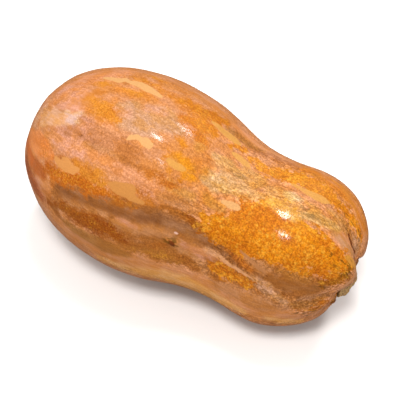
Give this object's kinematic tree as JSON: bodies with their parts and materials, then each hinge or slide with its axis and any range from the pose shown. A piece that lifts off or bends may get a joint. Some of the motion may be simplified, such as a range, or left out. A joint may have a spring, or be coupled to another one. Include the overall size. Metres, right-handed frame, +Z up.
{
  "type": "butternut squash",
  "caption": "Whole pear-shaped winter squash lying on its side, with a broad bulb, a thick lobed neck and a dry woody stem stub in a sunken stem end.",
  "frame": {"origin": "bottom centre of the bounding box, on the surface that the squash lies on", "axes": "+X along the fruit from the blossom end to the stem end, +Z up"},
  "size_m": [0.2542, 0.1388, 0.1378],
  "materials": {
    "skin": "smooth, waxy, semi-gloss rind with mottled orange and tan markings",
    "stem": "dry, rough, greenish-brown cork"
  },
  "bodies": {
    "root": {"fruit": "skin", "stem": "stem"}
  },
  "joints": []
}
